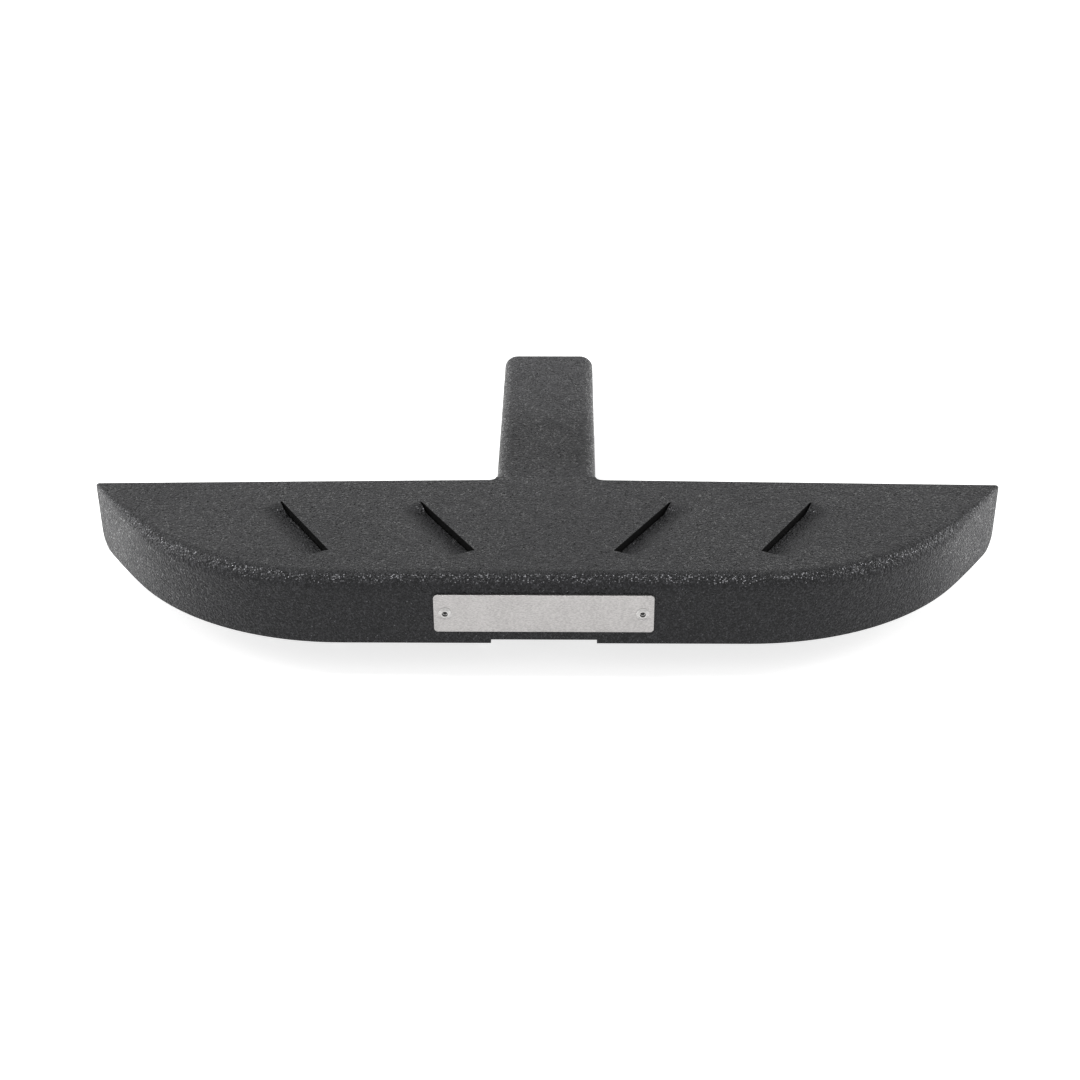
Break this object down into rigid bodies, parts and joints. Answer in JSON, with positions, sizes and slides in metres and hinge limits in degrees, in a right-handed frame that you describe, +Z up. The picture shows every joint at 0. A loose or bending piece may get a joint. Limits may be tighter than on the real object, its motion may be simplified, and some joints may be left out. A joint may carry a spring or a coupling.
{
  "type": "hitch receiver step",
  "caption": "Low curved steel step with pressed gill slots and a square receiver shank, for a tow hitch receiver.",
  "frame": {"origin": "centre of the hitch pin hole, on the axis of the square shank", "axes": "+X across the vehicle, to the right seen from the badge side, +Y along the shank into the receiver, +Z up"},
  "size_m": [0.4572, 0.251, 0.0508],
  "materials": {
    "tread_coat": "textured black coating",
    "shank_coat": "textured black coating, thinner and lighter",
    "badge_metal": "fine brushed satin",
    "rivet_metal": "plain",
    "mandrel_metal": "dull"
  },
  "bodies": {
    "root": {"step_shell": "tread_coat", "shank_cap": "tread_coat", "gusset_left": "tread_coat", "gusset_right": "tread_coat", "weld_rear_seam": "tread_coat", "weld_deck_left": "tread_coat", "weld_deck_right": "tread_coat", "weld_front_left": "tread_coat", "weld_front_right": "tread_coat", "weld_gusset_left": "tread_coat", "weld_gusset_right": "tread_coat", "weld_cap": "tread_coat", "hitch_shank": "shank_coat", "badge_plate": "badge_metal", "rivet_left": "rivet_metal", "rivet_right": "rivet_metal", "mandrel_left": "mandrel_metal", "mandrel_right": "mandrel_metal"}
  },
  "joints": []
}
